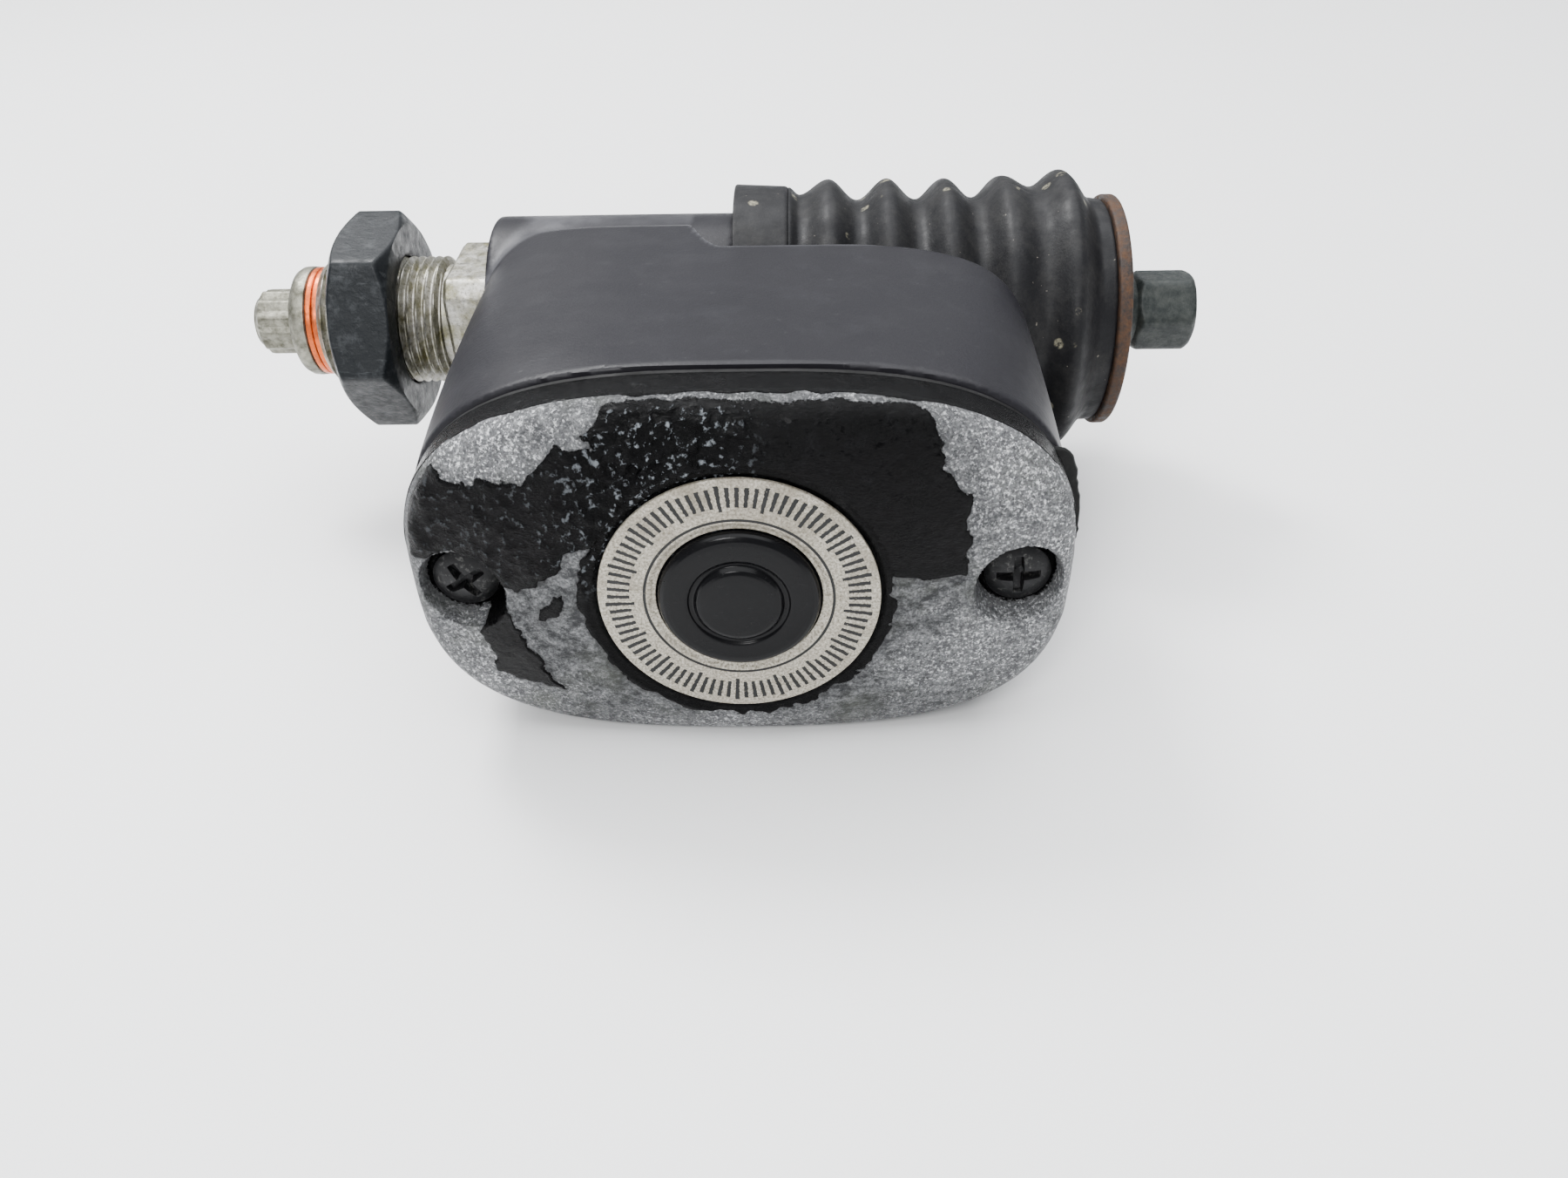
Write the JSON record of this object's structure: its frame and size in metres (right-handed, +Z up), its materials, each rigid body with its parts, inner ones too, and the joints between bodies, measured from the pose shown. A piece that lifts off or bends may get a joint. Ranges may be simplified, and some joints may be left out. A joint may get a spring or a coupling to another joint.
{
  "type": "brake master cylinder",
  "caption": "Rear brake master cylinder with oval side reservoir, sight-glass cover, threaded mounting shank, banjo bolt, bellows boot and adjustable pushrod.",
  "frame": {"origin": "on the bore axis, at the inner end of the mounting thread, beside the square boss", "axes": "+X along the bore towards the pushrod, +Z up, and the reservoir cover faces -Y"},
  "size_m": [0.1432, 0.0875, 0.0506],
  "materials": {
    "black_coated_casting": "satin, finely grained black coating on cast aluminium",
    "worn_painted_cover": "black wrinkle paint flaked from corroded cast aluminium",
    "black_rubber": "matte",
    "etched_label": "etched, stained",
    "smoked_glass": "glossy, very dark",
    "black_screw": "black, worn",
    "plated_steel": "turned and plated, stained",
    "black_oxide_steel": "black oxide",
    "copper": "soft copper, bright edge",
    "zinc_steel": "olive zinc plate, dull",
    "bright_steel": "plain steel",
    "spring_steel": "dark spring steel",
    "boot_rubber": "matte, dusty moulded rubber",
    "anodised_piston": "hard anodised",
    "rusty_steel": "bare steel with rust",
    "phosphated_steel": "dark green-grey phosphate"
  },
  "bodies": {
    "cylinder_body": {"reservoir_housing": "black_coated_casting", "reservoir_cover": "worn_painted_cover", "cover_diaphragm": "black_rubber", "label_ring": "etched_label", "sight_glass": "smoked_glass", "sight_glass_o_ring": "black_rubber", "cover_screws": "black_screw", "cartridge_body": "plated_steel", "cartridge_o_ring_front": "black_rubber", "cartridge_o_ring_rear": "black_rubber", "mounting_nut": "black_oxide_steel", "sealing_washers": "copper", "banjo_bolt": "zinc_steel", "stop_washer": "bright_steel", "retaining_ring": "spring_steel", "bore_spring": "spring_steel", "rubber_boot": "boot_rubber", "pedal_return_spring": "spring_steel"},
    "piston_set": {"piston": "anodised_piston", "primary_cup": "black_rubber", "cup_washer": "bright_steel", "secondary_seal": "black_rubber", "end_plate": "rusty_steel", "spring_seat": "bright_steel"},
    "pushrod": {"pushrod": "phosphated_steel"}
  },
  "joints": [
    {"name": "pushrod_stroke", "type": "slide", "parent": "cylinder_body", "child": "piston_set", "axis": [-1, 0, 0], "range_m": [0, 0.012], "stiffness_N_per_m": 2000, "springref_m": -0.01, "deforming": ["bore_spring", "pedal_return_spring", "rubber_boot"]},
    {"name": "pushrod_spin", "type": "hinge", "parent": "piston_set", "child": "pushrod", "pos_m": [0.0413, 0, 0], "axis": [1, 0, 0], "continuous": true}
  ]
}
